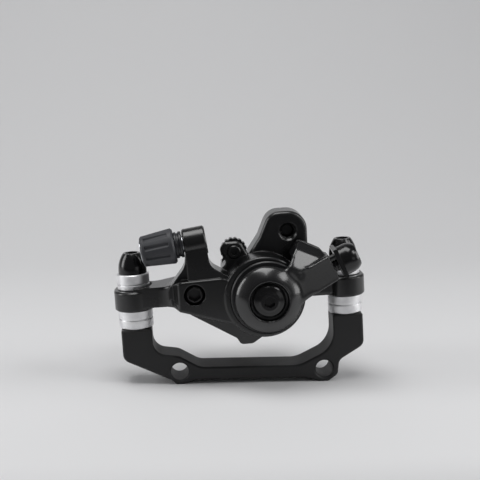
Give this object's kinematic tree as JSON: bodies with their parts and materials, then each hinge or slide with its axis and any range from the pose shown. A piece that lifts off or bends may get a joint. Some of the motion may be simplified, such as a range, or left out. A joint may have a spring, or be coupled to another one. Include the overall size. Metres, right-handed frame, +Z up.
{
  "type": "mechanical disc brake caliper",
  "caption": "Cable-pulled disc brake caliper with ball-and-ramp arm, two pads, barrel adjuster and dished washers, bolted to its frame adapter bracket.",
  "frame": {"origin": "midway between the adapter's two frame holes, in the middle of its thickness", "axes": "+Z up, +X along the two frame holes, +Y away from the arm, towards the wheel"},
  "size_m": [0.088, 0.056, 0.0609],
  "materials": {
    "satin_black_bracket": "satin",
    "gloss_black_casting": "gloss",
    "gloss_black_arm": "gloss",
    "silver_washer": "satin",
    "black_bolt": "satin",
    "gloss_black_bolt": "gloss",
    "black_ring": "satin",
    "spring_steel": "satin",
    "zinc_steel": "satin",
    "ball_steel": "polished",
    "magnet_nickel": "satin",
    "bearing_plastic": "matt",
    "pad_steel": "satin",
    "pad_lining": "matt",
    "knob_plastic": "satin",
    "black_rubber": "matt",
    "ribbed_plastic": "matt",
    "collar_plastic": "satin"
  },
  "bodies": {
    "caliper": {"mount_adapter": "satin_black_bracket", "lower_cup_washers": "silver_washer", "lower_ball_washers": "silver_washer", "upper_cup_washers": "silver_washer", "upper_ball_washers": "silver_washer", "mounting_bolts": "black_bolt", "outer_body": "gloss_black_casting", "inner_body": "gloss_black_casting", "front_body_bolt": "black_bolt", "rear_body_bolt": "black_bolt", "tab_screw": "black_bolt", "tab_nut": "black_bolt", "dust_ring": "black_ring", "return_spring": "spring_steel", "ball_plate": "zinc_steel", "ramp_balls": "ball_steel", "piston_spring": "spring_steel"},
    "piston": {"thrust_washer": "bearing_plastic", "push_piston": "zinc_steel", "outer_magnet": "magnet_nickel", "outer_pad_plate": "pad_steel", "outer_pad_lining": "pad_lining"},
    "arm": {"actuator_arm": "gloss_black_arm", "arm_centre_bolt": "gloss_black_bolt", "pinch_plate": "black_bolt", "pinch_bolt": "gloss_black_bolt", "drive_spindle": "zinc_steel"},
    "inner_pad": {"inner_pad_plate": "pad_steel", "inner_pad_lining": "pad_lining"},
    "pad_knob": {"inner_adjuster": "knob_plastic", "inner_magnet": "magnet_nickel", "adjuster_ring": "black_rubber"},
    "barrel_screw": {"adjuster_sleeve": "zinc_steel"},
    "barrel": {"adjuster_cover": "ribbed_plastic", "adjuster_collar": "collar_plastic"}
  },
  "joints": [
    {"name": "piston_slide", "type": "slide", "parent": "caliper", "child": "piston", "axis": [0, 1, 0], "range_m": [0, 0.00105], "deforming": ["piston_spring"]},
    {"name": "arm_turn", "type": "hinge", "parent": "piston", "child": "arm", "pos_m": [0.00431, 0, 0.02849], "axis": [0, -1, 0], "range_deg": [0, 35.01], "stiffness_Nm_per_rad": 0.03, "springref_deg": -34.38, "deforming": ["return_spring"]},
    {"name": "inner_pad_slide", "type": "slide", "parent": "caliper", "child": "inner_pad", "axis": [0, -1, 0], "range_m": [0, 0.0012]},
    {"name": "pad_knob_turn", "type": "hinge", "parent": "inner_pad", "child": "pad_knob", "pos_m": [0.0044, 0, 0.027], "axis": [0, -1, 0], "range_deg": [0, 432.1]},
    {"name": "barrel_slide", "type": "slide", "parent": "caliper", "child": "barrel_screw", "axis": [-0.9831, 0, -0.1833], "range_m": [0, 0.003]},
    {"name": "barrel_turn", "type": "hinge", "parent": "barrel_screw", "child": "barrel", "pos_m": [-0.0201, -0.0094, 0.04684], "axis": [-0.9831, 0, -0.1833], "range_deg": [0, 1080.5]}
  ],
  "couplings": [
    {"joint": "arm_turn", "follows": "piston_slide", "rad_per_m": 581.78},
    {"joint": "pad_knob_turn", "follows": "inner_pad_slide", "rad_per_m": 6283.2},
    {"joint": "barrel_turn", "follows": "barrel_slide", "rad_per_m": 6283.2}
  ]
}
